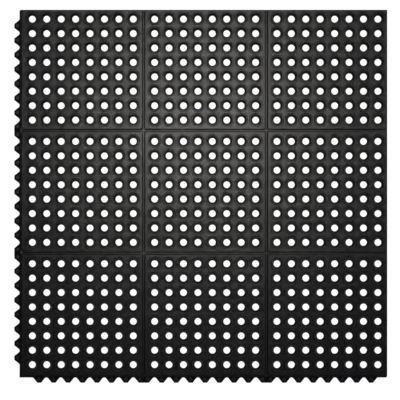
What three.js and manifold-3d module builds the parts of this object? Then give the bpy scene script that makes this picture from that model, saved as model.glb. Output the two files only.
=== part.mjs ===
// Kitchen floor mat: one square of moulded black rubber, in millimetres
// It lies flat with its underside at z = 0 and the middle of its holes over the origin
// Its interlocking teeth are on the left (-X) and front (-Y) edges
// Grooves divide its top into square panels, and each panel is one mesh
import * as THREE from 'three';
import { mergeGeometries, mergeVertices } from 'three/addons/utils/BufferGeometryUtils.js';
import Module from 'manifold-3d';

// Panels and the grooves between them
const panelsPerSide = 3;
const thickness = 12.7;
const grooveWidth = 6.4;
const grooveDepth = 1.2;
const panelCornerRadius = 3;
const cornerSegments = 2;

// Drain holes: octagonal funnels in a square grid, measured across their flats
const holesPerSide = 8;
const holePitch = 35.5;
const firstHole = 26.25; // from the middle of a groove to the axes of the nearest holes
const holeSides = 8;
const holeTopWidth = 32.3;
const holeBottomWidth = 17.4;

// Margins, measured outwards from the axes of the mat's outer holes
const plainMargin = 20.5; // to the right and back edges
const toothedTopMargin = 24.1; // to the edge of the raised top on the toothed sides
const toothedMargin = 27; // to the wall above the teeth

// Teeth, which stand out between the rows of holes and slide under the next mat
// Their reaches are measured from the same axes
const toothReach = 43.4;
const notchReach = 30.5;
const toothThickness = 6;
const toothTipWidth = 9.6;
const wideToothTipWidth = 24.5; // the tooth across each groove
const notchRadius = 6;
const notchSegments = 2;

// Studs on top of the teeth
const studDiameter = 9.5;
const studHeight = 4.5;
const studReach = 34.6;
const wideToothStudSpacing = 19;
const studSides = 6;

// How far joined shapes reach into each other, and cutters past the faces that they cut
const joinDepth = 1;
const cutMargin = 1;
const mergeDistance = 1e-4;

const panelPitch = 2 * firstHole + (holesPerSide - 1) * holePitch;
const lastPanel = panelsPerSide - 1;
const lastHole = holesPerSide - 1;
const border = (panel) => (panel - panelsPerSide / 2) * panelPitch;
const holeAxis = (panel, hole) => border(panel) + firstHole + hole * holePitch;
const firstAxis = holeAxis(0, 0);
const lastAxis = holeAxis(lastPanel, lastHole);

const wasm = await Module();
wasm.setup();

function toSolid(geometry) {
  const bare = geometry.index ? geometry.toNonIndexed() : geometry.clone();
  bare.deleteAttribute('normal');
  bare.deleteAttribute('uv');
  const merged = mergeVertices(bare, mergeDistance);
  const mesh = new wasm.Mesh({
    numProp: 3,
    vertProperties: merged.attributes.position.array,
    triVerts: new Uint32Array(merged.index.array),
  });
  return new wasm.Manifold(mesh);
}

function toGeometry(solid) {
  const mesh = solid.getMesh();
  const geometry = new THREE.BufferGeometry();
  geometry.setAttribute('position', new THREE.BufferAttribute(mesh.vertProperties, 3));
  geometry.setIndex(new THREE.BufferAttribute(mesh.triVerts, 1));
  const faceted = geometry.toNonIndexed();
  faceted.computeVertexNormals();
  return faceted;
}

function extrude(shape, bottom, top) {
  const geometry = new THREE.ExtrudeGeometry(shape, { depth: top - bottom, bevelEnabled: false });
  return geometry.translate(0, 0, bottom);
}

// A prism or cone frustum with an upright axis and a flat facing +X, measured across its flats
function frustum(sides, bottomWidth, topWidth, bottom, top) {
  const toCorner = 1 / (2 * Math.cos(Math.PI / sides));
  const geometry = new THREE.CylinderGeometry(
    topWidth * toCorner, bottomWidth * toCorner, top - bottom, sides);
  geometry.rotateX(Math.PI / 2);
  geometry.rotateZ(Math.PI / sides);
  return geometry.translate(0, 0, (bottom + top) / 2);
}

// How far a panel's body runs along one axis: to its grooves' middles or the mat's edges
function bodySpan(panel) {
  return [
    panel === 0 ? firstAxis - toothedMargin : border(panel),
    panel === lastPanel ? lastAxis + plainMargin : border(panel + 1),
  ];
}

// How far its raised top runs: to the grooves' near sides or the mat's edges
function topSpan(panel) {
  return [
    panel === 0 ? firstAxis - toothedTopMargin : border(panel) + grooveWidth / 2,
    panel === lastPanel ? lastAxis + plainMargin : border(panel + 1) - grooveWidth / 2,
  ];
}

// The panel's body up to the floor of the grooves
function panelBody(column, row) {
  const [left, right] = bodySpan(column);
  const [front, back] = bodySpan(row);
  const shape = new THREE.Shape();
  shape.moveTo(left, front);
  shape.lineTo(right, front);
  shape.lineTo(right, back);
  shape.lineTo(left, back);
  return toSolid(extrude(shape, 0, thickness - grooveDepth));
}

// The raised top with its rounded corners
function panelTop(column, row) {
  const [left, right] = topSpan(column);
  const [front, back] = topSpan(row);
  const radius = panelCornerRadius;
  const corners = [
    [right - radius, front + radius, -Math.PI / 2],
    [right - radius, back - radius, 0],
    [left + radius, back - radius, Math.PI / 2],
    [left + radius, front + radius, Math.PI],
  ];
  const points = [];
  for (const [x, y, startAngle] of corners) {
    for (let step = 0; step <= cornerSegments; step++) {
      const angle = startAngle + (step / cornerSegments) * (Math.PI / 2);
      points.push(new THREE.Vector2(x + radius * Math.cos(angle), y + radius * Math.sin(angle)));
    }
  }
  return toSolid(extrude(new THREE.Shape(points), thickness - grooveDepth - joinDepth, thickness));
}

// The panel's drain holes as one cutter, carried on at the same slope past both faces
function drainHoles(column, row) {
  const widening = (cutMargin * (holeTopWidth - holeBottomWidth)) / thickness;
  const hole = frustum(holeSides, holeBottomWidth - widening, holeTopWidth + widening,
    -cutMargin, thickness + cutMargin);
  const holes = [];
  for (let i = 0; i < holesPerSide; i++) {
    for (let j = 0; j < holesPerSide; j++) {
      holes.push(hole.clone().translate(holeAxis(column, i), holeAxis(row, j), 0));
    }
  }
  return toSolid(mergeGeometries(holes));
}

// One side of a notch, from a tooth's tip down the flank and round to the root
// Its points are given from the notch's middle and from the outer holes' axes outwards
function notchSide(tipDistance) {
  const centre = notchReach + notchRadius;
  const rise = toothReach - centre;
  const tangent = Math.atan2(rise, tipDistance)
    - Math.acos(notchRadius / Math.hypot(rise, tipDistance));
  const points = [[tipDistance, toothReach]];
  for (let step = 0; step < notchSegments; step++) {
    const angle = tangent + (step / notchSegments) * (-Math.PI / 2 - tangent);
    points.push([notchRadius * Math.cos(angle), centre + notchRadius * Math.sin(angle)]);
  }
  return points;
}

// The teeth along one panel's outer edge: each point is [along the edge, outwards from
// the outer holes' axes]
function teethOutline(panel) {
  const isFirst = panel === 0;
  const isLast = panel === lastPanel;
  const start = isFirst ? firstAxis - notchReach : border(panel);
  const end = isLast ? lastAxis + plainMargin : border(panel + 1);
  const inside = toothedMargin - joinDepth;
  const outline = [[end, inside], [start, inside]];
  outline.push([start, isFirst ? notchReach : toothReach]);
  for (let hole = 0; hole < holesPerSide; hole++) {
    const root = holeAxis(panel, hole);
    const toTooth = (holePitch - toothTipWidth) / 2;
    const toWideTooth = firstHole - wideToothTipWidth / 2;
    if (hole > 0 || !isFirst) {
      const side = notchSide(hole > 0 ? toTooth : toWideTooth);
      outline.push(...side.map(([away, out]) => [root - away, out]));
    }
    outline.push([root, notchReach]);
    if (hole < lastHole || !isLast) {
      const side = notchSide(hole < lastHole ? toTooth : toWideTooth);
      outline.push(...side.reverse().map(([away, out]) => [root + away, out]));
    }
  }
  outline.push([end, isLast ? notchReach : toothReach]);
  return outline;
}

// Where a panel's studs stand along its outer edge: one on each tooth, and one on its
// half of the wide tooth across each groove
function studPlaces(panel) {
  const places = [];
  if (panel > 0) {
    places.push(border(panel) + wideToothStudSpacing / 2);
  }
  for (let hole = 0; hole < lastHole; hole++) {
    places.push(holeAxis(panel, hole) + holePitch / 2);
  }
  if (panel < lastPanel) {
    places.push(border(panel + 1) - wideToothStudSpacing / 2);
  }
  return places;
}

// Teeth and studs of one panel, with toPlan turning [along, outwards] into the mat's [x, y]
function toothedEdge(panel, toPlan) {
  const points = teethOutline(panel).map(([along, out]) => new THREE.Vector2(...toPlan(along, out)));
  let edge = toSolid(extrude(new THREE.Shape(points), 0, toothThickness));
  const stud = frustum(studSides, studDiameter, studDiameter,
    toothThickness - joinDepth, toothThickness + studHeight);
  for (const along of studPlaces(panel)) {
    const [x, y] = toPlan(along, studReach);
    edge = edge.add(toSolid(stud.clone().translate(x, y, 0)));
  }
  return edge;
}

const onLeftEdge = (along, out) => [firstAxis - out, along];
const onFrontEdge = (along, out) => [along, firstAxis - out];

function panelSolid(column, row) {
  let solid = panelBody(column, row).add(panelTop(column, row));
  if (column === 0) {
    solid = solid.add(toothedEdge(row, onLeftEdge));
  }
  if (row === 0) {
    solid = solid.add(toothedEdge(column, onFrontEdge));
  }
  return solid.subtract(drainHoles(column, row));
}

function rubber() {
  return new THREE.MeshStandardMaterial({ color: 0x2c2c2e, roughness: 0.7, metalness: 0 });
}

const columnNames = ['left', 'centre', 'right'];
const rowNames = ['front', 'middle', 'back'];

const mat = new THREE.Group();
for (let row = 0; row < panelsPerSide; row++) {
  for (let column = 0; column < panelsPerSide; column++) {
    const panel = new THREE.Mesh(toGeometry(panelSolid(column, row)), rubber());
    panel.name = `panel_${rowNames[row]}_${columnNames[column]}`;
    mat.add(panel);
  }
}

export default mat;
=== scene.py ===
# Kitchen floor mat: moulded black rubber panels with drain holes, grooves, teeth and studs,
# lying on a white floor and seen from straight above
import math

import bmesh
import bpy
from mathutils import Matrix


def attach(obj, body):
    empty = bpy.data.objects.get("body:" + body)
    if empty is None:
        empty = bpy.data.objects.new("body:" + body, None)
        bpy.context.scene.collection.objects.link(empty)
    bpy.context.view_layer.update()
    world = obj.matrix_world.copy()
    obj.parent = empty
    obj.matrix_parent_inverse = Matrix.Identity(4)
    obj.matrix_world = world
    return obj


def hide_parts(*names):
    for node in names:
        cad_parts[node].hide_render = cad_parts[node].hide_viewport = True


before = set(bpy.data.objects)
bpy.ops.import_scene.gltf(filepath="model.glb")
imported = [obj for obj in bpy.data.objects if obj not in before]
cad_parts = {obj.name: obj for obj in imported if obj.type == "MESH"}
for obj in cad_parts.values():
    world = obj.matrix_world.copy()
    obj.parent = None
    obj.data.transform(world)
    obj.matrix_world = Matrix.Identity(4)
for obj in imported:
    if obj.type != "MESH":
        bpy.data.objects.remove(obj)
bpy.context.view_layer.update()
print("frame loaded:", len(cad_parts), "panels")

mm = 0.001
columnNames = ["left", "centre", "right"]
rowNames = ["front", "middle", "back"]
lastPanel = len(columnNames) - 1

# The mat's layout in mm, with the middle of its holes over the origin
mat = {
    "thickness": 12.7,
    "panelPitch": 301.0,
    "holePitch": 35.5,
    "holesPerSide": 8,
    "firstHole": 26.25,  # from a panel's border to the axes of its nearest holes
    "plainMargin": 20.5,  # from the outer axes to the right and back edges
    "toothedTopMargin": 24.1,  # to the edge of the raised top above the teeth
    "toothedMargin": 27.0,  # to the wall above the teeth
}


def border(panel):
    return (panel - len(columnNames) / 2) * mat["panelPitch"]


def holeAxis(panel, number):
    return border(panel) + mat["firstHole"] + number * mat["holePitch"]


lastHole = mat["holesPerSide"] - 1
firstAxis = holeAxis(0, 0)
lastAxis = holeAxis(lastPanel, lastHole)


def addRing(bm, points):
    return [bm.verts.new((x * mm, y * mm, z * mm)) for x, y, z in points]


def bridge(bm, outer, inner):
    # Joins two rings that have as many points with four-sided faces
    count = len(outer)
    for i in range(count):
        j = (i + 1) % count
        bm.faces.new((outer[i], outer[j], inner[j], inner[i]))


# Drain holes: an octagonal step with a fine channel at its foot, a round ledge and a funnel
# down to the floor
drainHole = {
    "pointsRound": 32,
    # form, half width in mm, height in mm
    "rings": [
        ("octagon", 16.4, 12.7),
        ("octagon", 16.25, 12.6),
        ("octagon", 15.35, 11.0),
        ("octagon", 15.1, 10.75),
        ("octagon", 14.9, 10.85),
        ("octagon", 14.7, 11.2),
        ("circle", 13.75, 11.2),
        ("circle", 13.55, 11.05),
        ("circle", 13.35, 10.6),
        ("circle", 11.2, 5.6),
        ("circle", 8.5, 0.6),
        ("circle", 8.25, 0.2),
        ("circle", 8.35, 0.0),
    ],
}


def ringPoints(form, size, height, x, y):
    eighth = math.pi / 4
    points = []
    for step in range(drainHole["pointsRound"]):
        angle = math.tau * step / drainHole["pointsRound"]
        away = size
        if form == "square":
            away = size / max(abs(math.cos(angle)), abs(math.sin(angle)))
        if form == "octagon":
            away = size / math.cos((angle + eighth / 2) % eighth - eighth / 2)
        points.append((x + away * math.cos(angle), y + away * math.sin(angle), height))
    return points


def addDrainHoles(bm, column, row):
    # Each hole fills a square of the panel, from its top face through to its underside
    half = mat["holePitch"] / 2
    rings = [("square", half, mat["thickness"]), *drainHole["rings"], ("square", half, 0.0)]
    for i in range(mat["holesPerSide"]):
        for j in range(mat["holesPerSide"]):
            x, y = holeAxis(column, i), holeAxis(row, j)
            outer = addRing(bm, ringPoints(*rings[0], x, y))
            for form, size, height in rings[1:]:
                inner = addRing(bm, ringPoints(form, size, height, x, y))
                bridge(bm, outer, inner)
                outer = inner


# The rim round each panel: a rounded edge, a low wall and the floor of the grooves
panelRim = {
    "cornerRadius": 4.0,
    "cornerSegments": 6,
    "matCornerRadius": 1.6,
    "grooveWidth": 6.4,
    "grooveDepth": 1.2,
    "edgeRounding": 0.8,
    "topEdge": [(1.0, 0.0), (0.7, 0.08), (0.35, 0.35), (0.0, 1.0)],  # inset, drop as its shares
    # outset, rise above the grooves' floor and depth of the fine channel there, in mm
    "foot": [
        (0.1, 0.3, 0.0),
        (0.2, 0.15, 0.5),
        (0.9, 0.05, 1.6),
        (1.15, 0.0, 1.6),
        (1.85, 0.0, 0.25),
        (2.1, 0.0, 0.0),
    ],
    "faintChannel": 0.2,  # the channel's share along the panels' right and back sides
    "bodyEdge": [(0.5, 0.0), (0.15, 0.15), (0.0, 0.5)],  # inset, drop in mm
}


def topSpan(panel, inset, outset=0.0):
    # The raised top, drawn in by inset, with the foot of its wall let out by outset
    half = panelRim["grooveWidth"] / 2
    low = border(panel) + half + inset - outset
    if panel == 0:
        low = firstAxis - mat["toothedTopMargin"] + inset - outset
    high = border(panel + 1) - half - inset + outset
    if panel == lastPanel:
        high = lastAxis + mat["plainMargin"] - inset
    return low, high


def bodySpan(panel, inset):
    # The body below the grooves, with only the wall above its teeth drawn in by inset
    low = border(panel)
    if panel == 0:
        low = firstAxis - mat["toothedMargin"] + inset
    high = border(panel + 1)
    if panel == lastPanel:
        high = lastAxis + mat["plainMargin"]
    return low, high


def gridSpan(panel):
    # The squares round the panel's holes
    half = mat["holePitch"] / 2
    return holeAxis(panel, 0) - half, holeAxis(panel, lastHole) + half


def sidePlaces(panel):
    # Where the squares round the holes have their points along one side of a panel
    pointsRound = drainHole["pointsRound"]
    halfSide = pointsRound // 8
    places = []
    for number in range(mat["holesPerSide"]):
        for step in range(-halfSide, halfSide + 1):
            if step == -halfSide and number > 0:
                continue  # the corner that it shares with the square before
            across = math.tan(math.tau * step / pointsRound)
            places.append(holeAxis(panel, number) + across * mat["holePitch"] / 2)
    return places


def rimLoop(column, row, spanX, spanY, radii, height):
    # One closed loop round a panel, anticlockwise from the front left corner
    left, right = spanX
    front, back = spanY
    alongX, alongY = sidePlaces(column), sidePlaces(row)
    # each corner with its directions into the panel
    corners = [
        (left, front, 1, 1),
        (right, front, -1, 1),
        (right, back, -1, -1),
        (left, back, 1, -1),
    ]
    sides = [
        [(x, front) for x in alongX],
        [(right, y) for y in alongY],
        [(x, back) for x in reversed(alongX)],
        [(left, y) for y in reversed(alongY)],
    ]
    segments = panelRim["cornerSegments"]
    points = []
    for number, (x, y, toX, toY) in enumerate(corners):
        radius = radii[number]
        for step in range(segments + 1):
            angle = math.pi + (number + step / segments) * math.pi / 2
            points.append((
                x + toX * radius + radius * math.cos(angle),
                y + toY * radius + radius * math.sin(angle),
                height,
            ))
        points += [(px, py, height) for px, py in sides[number]]
    return points


def channelShares(column, row):
    # How much of the channel each point of a loop has: all of it in front and on the left,
    # little on the right and at the back, and none at the mat's plain edges
    faint = panelRim["faintChannel"]
    onRight = faint if column < lastPanel else 0.0
    atBack = faint if row < lastPanel else 0.0
    sideShares = [1.0, onRight, atBack, 1.0]
    segments = panelRim["cornerSegments"]
    shares = []
    for number, count in enumerate([len(sidePlaces(column)), len(sidePlaces(row))] * 2):
        before, here = sideShares[number - 1], sideShares[number]
        shares += [before + (here - before) * step / segments for step in range(segments + 1)]
        shares += [here] * count
    return shares


def bodyRadii(column, row):
    # Only the mat's own corners are rounded; panels meet each other at sharp ones
    radius = panelRim["matCornerRadius"]
    outX = (column == 0, column == lastPanel)
    outY = (row == 0, row == lastPanel)
    corners = [(0, 0), (1, 0), (1, 1), (0, 1)]
    return [radius if outX[i] and outY[j] else 0.0 for i, j in corners]


def addRim(bm, column, row):
    # Loops from the squares round the holes outwards, down the walls and back underneath
    top = mat["thickness"]
    grooveFloor = top - panelRim["grooveDepth"]
    rounding = panelRim["edgeRounding"]
    radius = panelRim["cornerRadius"]
    sharp = [0.0] * 4
    bodyCorners = bodyRadii(column, row)

    def spans(find, *sizes):
        return find(column, *sizes), find(row, *sizes)

    # spans in x and y, corner radii, height and depth of the channel
    loops = [(*spans(gridSpan), sharp, top, 0.0)]
    for across, down in panelRim["topEdge"]:
        inset, drop = across * rounding, down * rounding
        loops.append((*spans(topSpan, inset), [radius - inset] * 4, top - drop, 0.0))
    for outset, rise, depth in panelRim["foot"]:
        wide = [radius + outset] * 4
        loops.append((*spans(topSpan, 0.0, outset), wide, grooveFloor + rise, depth))
    for inset, drop in panelRim["bodyEdge"]:
        loops.append((*spans(bodySpan, inset), bodyCorners, grooveFloor - drop, 0.0))
    loops.append((*spans(bodySpan, 0.0), bodyCorners, 0.0, 0.0))
    loops.append((*spans(gridSpan), sharp, 0.0, 0.0))

    shares = channelShares(column, row)
    outer = None
    for spanX, spanY, radii, height, depth in loops:
        points = rimLoop(column, row, spanX, spanY, radii, height)
        loop = addRing(bm, [(x, y, z - share * depth) for (x, y, z), share in zip(points, shares)])
        if outer:
            bridge(bm, outer, loop)
        outer = loop


# The teeth with their rounded notches, standing out under the neighbouring mat, in mm
teeth = {
    "toothReach": 43.4,  # from the outer holes' axes to the teeth's tips
    "notchReach": 30.5,  # and to the bottoms of the notches
    "thickness": 6.0,
    "tipWidth": 9.6,
    "wideTipWidth": 24.5,  # the tooth across each groove
    "notchRadius": 6.0,
    "tipRadius": 1.3,
    "rootDepth": 1.0,  # how far they reach into the body
    "edgeRounding": 0.5,
    "edgeSegments": 2,
    "degreesPerStep": 14,  # along the rounded corners
}


def notchPoint(tipDistance):
    # Where the two flanks of a notch would meet without its rounding
    radius = teeth["notchRadius"]
    centre = teeth["notchReach"] + radius
    rise = teeth["toothReach"] - centre
    turn = math.atan2(rise, tipDistance) - math.acos(radius / math.hypot(rise, tipDistance))
    x, y = radius * math.cos(turn), centre + radius * math.sin(turn)
    slope = (y - teeth["toothReach"]) / (x - tipDistance)
    return teeth["toothReach"] - slope * tipDistance


def fillet(before, corner, after, radius):
    # The rounding of one corner of an outline as a run of points
    x, y = corner
    toBefore = (before[0] - x, before[1] - y)
    toAfter = (after[0] - x, after[1] - y)
    first, second = math.hypot(*toBefore), math.hypot(*toAfter)
    ux, uy = toBefore[0] / first, toBefore[1] / first
    vx, vy = toAfter[0] / second, toAfter[1] / second
    half = math.acos(max(-1.0, min(1.0, ux * vx + uy * vy))) / 2
    nearlyStraight = 1.56
    if radius == 0 or half > nearlyStraight:
        return [corner]
    back = radius / math.tan(half)
    away = radius / math.sin(half)
    mx, my = ux + vx, uy + vy
    size = math.hypot(mx, my)
    cx, cy = x + mx / size * away, y + my / size * away
    start = math.atan2(y + uy * back - cy, x + ux * back - cx)
    end = math.atan2(y + vy * back - cy, x + vx * back - cx)
    sweep = (end - start + math.pi) % math.tau - math.pi
    steps = max(2, round(abs(sweep) / math.radians(teeth["degreesPerStep"])))
    angles = [start + sweep * i / steps for i in range(steps + 1)]
    return [(cx + radius * math.cos(a), cy + radius * math.sin(a)) for a in angles]


def toothOutline(panel):
    # First the corners of the teeth: along the edge, outwards from the outer axes, rounding
    isFirst, isLast = panel == 0, panel == lastPanel
    tip, bottom = teeth["toothReach"], teeth["notchReach"]
    start = firstAxis - bottom if isFirst else border(panel)
    end = lastAxis + mat["plainMargin"] if isLast else border(panel + 1)
    inside = mat["toothedMargin"] - teeth["rootDepth"]
    half = (mat["holePitch"] - teeth["tipWidth"]) / 2
    wideHalf = mat["firstHole"] - teeth["wideTipWidth"] / 2
    corners = [(end, inside, 0), (start, inside, 0), (start, bottom if isFirst else tip, 0)]
    for number in range(mat["holesPerSide"]):
        axis = holeAxis(panel, number)
        before = half if number > 0 else wideHalf
        after = half if number < lastHole else wideHalf
        apex = (notchPoint(before) + notchPoint(after)) / 2
        beforeTooth = number > 0 or not isFirst
        afterTooth = number < lastHole or not isLast
        # a notch with a tooth on one side only runs out straight on the other
        share = (bottom - apex) / (tip - apex)
        if beforeTooth:
            corners.append((axis - before, tip, teeth["tipRadius"]))
        if beforeTooth and afterTooth:
            corners.append((axis, apex, teeth["notchRadius"]))
        elif beforeTooth:
            corners.append((axis - share * before, bottom, teeth["notchRadius"]))
        else:
            corners.append((axis + share * after, bottom, teeth["notchRadius"]))
        if afterTooth:
            corners.append((axis + after, tip, teeth["tipRadius"]))
    corners.append((end, bottom if isLast else tip, 0))
    outline = []
    for i, (along, out, radius) in enumerate(corners):
        previous, following = corners[i - 1], corners[(i + 1) % len(corners)]
        outline += fillet(previous[:2], (along, out), following[:2], radius)
    return outline


def addTeeth(bm, panel, toPlan):
    outline = addRing(bm, [(*toPlan(*point), 0.0) for point in toothOutline(panel)])
    bottom = bm.faces.new(outline)
    made = bmesh.ops.extrude_face_region(bm, geom=[bottom])
    raised = [v for v in made["geom"] if isinstance(v, bmesh.types.BMVert)]
    bmesh.ops.translate(bm, verts=raised, vec=(0, 0, teeth["thickness"] * mm))
    rims = [e for e in made["geom"] if isinstance(e, bmesh.types.BMEdge)]
    rounding, segments = teeth["edgeRounding"] * mm, teeth["edgeSegments"]
    bmesh.ops.bevel(bm, geom=rims, offset=rounding, segments=segments, affect="EDGES")


# Round studs on the teeth, in mm
studs = {
    "radius": 4.75,
    "height": 4.5,
    "reach": 34.6,  # from the outer holes' axes
    "spacingOnWideTooth": 19.0,
    "sunkBy": 1.0,  # how far they reach down into the teeth
    "clearOf": 0.01,  # their lowest ring above the teeth
    "rounding": 0.7,
    "shoulder": [(0.0, 1.0), (0.1, 0.5), (0.35, 0.15), (1.0, 0.0)],  # inset, drop as its shares
    "pointsRound": 28,
}


def studPlaces(panel):
    places = []
    if panel > 0:
        places.append(border(panel) + studs["spacingOnWideTooth"] / 2)
    for number in range(lastHole):
        places.append(holeAxis(panel, number) + mat["holePitch"] / 2)
    if panel < lastPanel:
        places.append(border(panel + 1) - studs["spacingOnWideTooth"] / 2)
    return places


def addStud(bm, x, y):
    foot = teeth["thickness"]
    top = foot + studs["height"]
    radius, rounding = studs["radius"], studs["rounding"]
    profile = [(radius, foot - studs["sunkBy"]), (radius, foot + studs["clearOf"])]
    profile += [(radius - a * rounding, top - b * rounding) for a, b in studs["shoulder"]]
    profile.append((radius / 2, top))
    turns = [math.tau * i / studs["pointsRound"] for i in range(studs["pointsRound"])]
    rings = []
    for size, height in profile:
        points = [(x + size * math.cos(t), y + size * math.sin(t), height) for t in turns]
        rings.append(addRing(bm, points))
    for lower, upper in zip(rings, rings[1:]):
        bridge(bm, lower, upper)
    bm.faces.new(rings[-1])
    bm.faces.new(list(reversed(rings[0])))


def onLeftEdge(along, out):
    return firstAxis - out, along


def onFrontEdge(along, out):
    return along, firstAxis - out


def closeMesh(bm, name):
    bmesh.ops.recalc_face_normals(bm, faces=bm.faces)
    mesh = bpy.data.meshes.new(name)
    bm.to_mesh(mesh)
    bm.free()
    return mesh


def joinSkins(meshes, name):
    # One closed skin out of several overlapping ones
    parts = [bpy.data.objects.new(mesh.name, mesh) for mesh in meshes]
    for part in parts:
        bpy.context.scene.collection.objects.link(part)
    for part in parts[1:]:
        union = parts[0].modifiers.new(part.name, "BOOLEAN")
        union.operation = "UNION"
        union.solver = "MANIFOLD"
        union.object = part
    settled = parts[0].evaluated_get(bpy.context.evaluated_depsgraph_get())
    joined = bpy.data.meshes.new_from_object(settled)
    for part in parts:
        bpy.data.objects.remove(part)
    for mesh in meshes:
        bpy.data.meshes.remove(mesh)
    joined.name = name
    return joined


# How the skin of a panel is put together and shaded
skin = {
    "mergeDistance": 2e-6,  # in metres
    "sharpAngle": 50,
    "flatWeight": 90,  # how strongly the large flat faces set the shading
}


def buildPanel(column, row, finish):
    name = f"{rowNames[row]}_{columnNames[column]}"
    bm = bmesh.new()
    addDrainHoles(bm, column, row)
    addRim(bm, column, row)
    bmesh.ops.remove_doubles(bm, verts=bm.verts, dist=skin["mergeDistance"])
    meshes = [closeMesh(bm, f"rubber_{name}")]
    edges = [(column == 0, row, onLeftEdge), (row == 0, column, onFrontEdge)]
    for isToothed, panel, toPlan in edges:
        if isToothed:
            bm = bmesh.new()
            addTeeth(bm, panel, toPlan)
            meshes.append(closeMesh(bm, "teeth"))
            bm = bmesh.new()
            for along in studPlaces(panel):
                addStud(bm, *toPlan(along, studs["reach"]))
            meshes.append(closeMesh(bm, "studs"))
    mesh = joinSkins(meshes, f"rubber_{name}") if len(meshes) > 1 else meshes[0]
    piece = bpy.data.objects.new(f"mat_{name}", mesh)
    bpy.context.scene.collection.objects.link(piece)
    mesh.materials.clear()
    mesh.materials.append(finish)
    mesh.shade_smooth()
    mesh.set_sharp_from_angle(angle=math.radians(skin["sharpAngle"]))
    flats = piece.modifiers.new("evenFlats", "WEIGHTED_NORMAL")
    flats.keep_sharp = True
    flats.weight = skin["flatWeight"]
    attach(piece, "root")
    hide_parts(f"panel_{name}")


# Moulded black rubber: dusty grey where feet rub it, with painted shade making it blacker down in
# the holes and grooves
rubber = {
    "rubbedColour": (0.0066, 0.0066, 0.0062, 1),
    "cleanColour": (0.0028, 0.0029, 0.0034, 1),
    # painted shade: the funnels and the foot channels are painted darker than the clean rubber
    # below these heights
    "paintedShadeColour": (0.0012, 0.0010, 0.0015, 1),
    "deepBelow": 8.5,  # heights in mm between which the deep colour fades out
    "deepUntil": 10.9,
    # noises as scale, detail and roughness
    "patches": (16.0, 5, 0.6),
    "mottle": (360.0, 4, 0.7),
    "grain": (300.0, 2, 0.6),
    "waves": (26.0, 2, 0.5),
    "patchRange": (0.3, 0.7),  # noise values between which the wear sets in
    "mottleRange": (0.46, 0.54),
    "patchShare": 0.3,  # the mottle has the rest
    "grainDepth": 0.0006,
    "waveDepth": 0.0013,
    "roughRubbed": 0.24,
    "roughClean": 0.40,
    "roughDeep": 1.0,
    "specularLevel": 0.2,
}


def makeRubber():
    finish = bpy.data.materials.new("mouldedRubber")
    finish.use_nodes = True
    tree = finish.node_tree
    shader = tree.nodes["Principled BSDF"]
    shader.inputs["Specular IOR Level"].default_value = rubber["specularLevel"]

    def node(kind, inputs, **settings):
        made = tree.nodes.new(kind)
        for key, value in settings.items():
            setattr(made, key, value)
        for key, value in inputs.items():
            if isinstance(value, bpy.types.NodeSocket):
                tree.links.new(value, made.inputs[key])
            else:
                made.inputs[key].default_value = value
        return made

    place = node("ShaderNodeTexCoord", {}).outputs["Object"]

    def noise(scale, detail, roughness):
        values = {"Vector": place, "Scale": scale, "Detail": detail, "Roughness": roughness}
        return node("ShaderNodeTexNoise", values).outputs["Fac"]

    def ramp(value, start, end, high=1.0):
        values = {"Value": value, "From Min": start, "From Max": end, "To Min": 0.0, "To Max": high}
        return node("ShaderNodeMapRange", values).outputs["Result"]

    # the mix node's sockets go by number, because each data type has its own
    def mixColour(share, first, second):
        return node("ShaderNodeMix", {0: share, 6: first, 7: second}, data_type="RGBA").outputs[2]

    def mixValue(share, first, second):
        return node("ShaderNodeMix", {0: share, 2: first, 3: second}, data_type="FLOAT").outputs[0]

    def bump(distance, height, below=None):
        values = {"Strength": 1.0, "Distance": distance, "Height": height}
        if below:
            values["Normal"] = below
        return node("ShaderNodeBump", values).outputs["Normal"]

    patches = noise(*rubber["patches"])
    mottle = noise(*rubber["mottle"])
    grain = noise(*rubber["grain"])
    waves = noise(*rubber["waves"])
    height = node("ShaderNodeSeparateXYZ", {"Vector": place}).outputs["Z"]

    # rubbed where the large patches and the fine mottle are high
    wide = ramp(patches, *rubber["patchRange"], rubber["patchShare"])
    fine = ramp(mottle, *rubber["mottleRange"], 1 - rubber["patchShare"])
    wear = node("ShaderNodeMath", {0: wide, 1: fine}, operation="ADD").outputs[0]
    # share above the painted shade, set by height alone; the funnels' rough finish follows the same
    # heights
    raised = ramp(height, rubber["deepBelow"] * mm, rubber["deepUntil"] * mm)
    topColour = mixColour(wear, rubber["cleanColour"], rubber["rubbedColour"])
    topRough = mixValue(wear, rubber["roughClean"], rubber["roughRubbed"])
    # painted shade mixed into the colour low down in the holes and grooves
    colour = mixColour(raised, rubber["paintedShadeColour"], topColour)
    rough = mixValue(raised, rubber["roughDeep"], topRough)
    surface = bump(rubber["grainDepth"], grain, bump(rubber["waveDepth"], waves))
    tree.links.new(colour, shader.inputs["Base Color"])
    tree.links.new(rough, shader.inputs["Roughness"])
    tree.links.new(surface, shader.inputs["Normal"])
    return finish


finish = makeRubber()
for row in range(len(rowNames)):
    for column in range(len(columnNames)):
        buildPanel(column, row, finish)
    print("panels built:", rowNames[row], "row")

# A plain floor that glows, so that it stays white through the drain holes
floor = {
    "size": 60.0,
    "squaresPerSide": 6,
    "gap": 0.0003,  # between the mat's underside and the floor
    "colour": (0.12, 0.12, 0.12, 1),
    "roughness": 0.8,
    "glowColour": (1, 1, 1, 1),
    "glow": 0.95,
}


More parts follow.
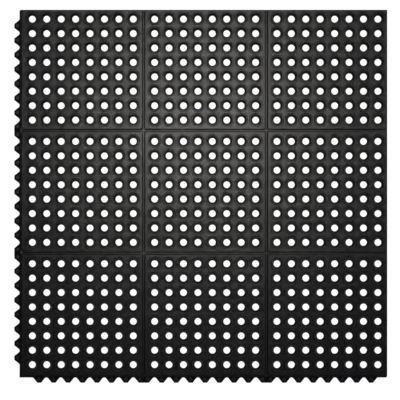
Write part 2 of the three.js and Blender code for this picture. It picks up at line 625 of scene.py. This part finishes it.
def buildFloor():
    bm = bmesh.new()
    squares = floor["squaresPerSide"]
    bmesh.ops.create_grid(bm, x_segments=squares, y_segments=squares, size=floor["size"] / 2)
    mesh = bpy.data.meshes.new("studioFloor")
    bm.to_mesh(mesh)
    bm.free()
    piece = bpy.data.objects.new("studioFloor", mesh)
    piece.location.z = -floor["gap"]
    bpy.context.scene.collection.objects.link(piece)
    paint = bpy.data.materials.new("paleFloor")
    paint.use_nodes = True
    shader = paint.node_tree.nodes["Principled BSDF"]
    shader.inputs["Base Color"].default_value = floor["colour"]
    shader.inputs["Roughness"].default_value = floor["roughness"]
    shader.inputs["Emission Color"].default_value = floor["glowColour"]
    shader.inputs["Emission Strength"].default_value = floor["glow"]
    mesh.materials.append(paint)


buildFloor()

# Soft studio light: a lamp above the back of the mat, a weaker one low behind it on the right
# and a dim cool room
light = {
    "overBack": {
        "place": (-0.012, 0.465, 2.7),
        "tilt": (-10, 0, 0),
        "size": (0.7, 0.5),
        "power": 51.5,
        "colour": (1.0, 0.98, 0.9),
    },
    "backRight": {
        "place": (1.5, 2.6, 1.9),
        "tilt": (-58, 0, -30),
        "size": (1.6, 1.0),
        "power": 30,
        "colour": (1.0, 0.99, 0.96),
    },
    "roomColour": (0.40, 0.52, 1.0, 1),
    "roomStrength": 0.14,
}


def addLight(name):
    lamp = bpy.data.lights.new(name, "AREA")
    lamp.shape = "RECTANGLE"
    lamp.size, lamp.size_y = light[name]["size"]
    lamp.energy = light[name]["power"]
    lamp.color = light[name]["colour"]
    holder = bpy.data.objects.new(name, lamp)
    holder.location = light[name]["place"]
    holder.rotation_euler = [math.radians(v) for v in light[name]["tilt"]]
    bpy.context.scene.collection.objects.link(holder)


def addRoom():
    room = bpy.data.worlds.new("dimRoom")
    room.use_nodes = True
    background = room.node_tree.nodes["Background"]
    background.inputs["Color"].default_value = light["roomColour"]
    background.inputs["Strength"].default_value = light["roomStrength"]
    bpy.context.scene.world = room


addLight("overBack")
addLight("backRight")
addRoom()
bpy.context.scene.view_settings.view_transform = "Standard"
print("floor and lights placed")

# The camera looks straight down, a little in front of the mat's middle
camera = {"place": (-0.0126, -0.0199, 2.1), "lens": 76.77, "sensor": 36.0}


def addCamera():
    overhead = bpy.data.cameras.new("overhead")
    overhead.lens = camera["lens"]
    overhead.sensor_width = camera["sensor"]
    holder = bpy.data.objects.new("overhead", overhead)
    holder.location = camera["place"]
    bpy.context.scene.collection.objects.link(holder)
    bpy.context.scene.camera = holder


addCamera()
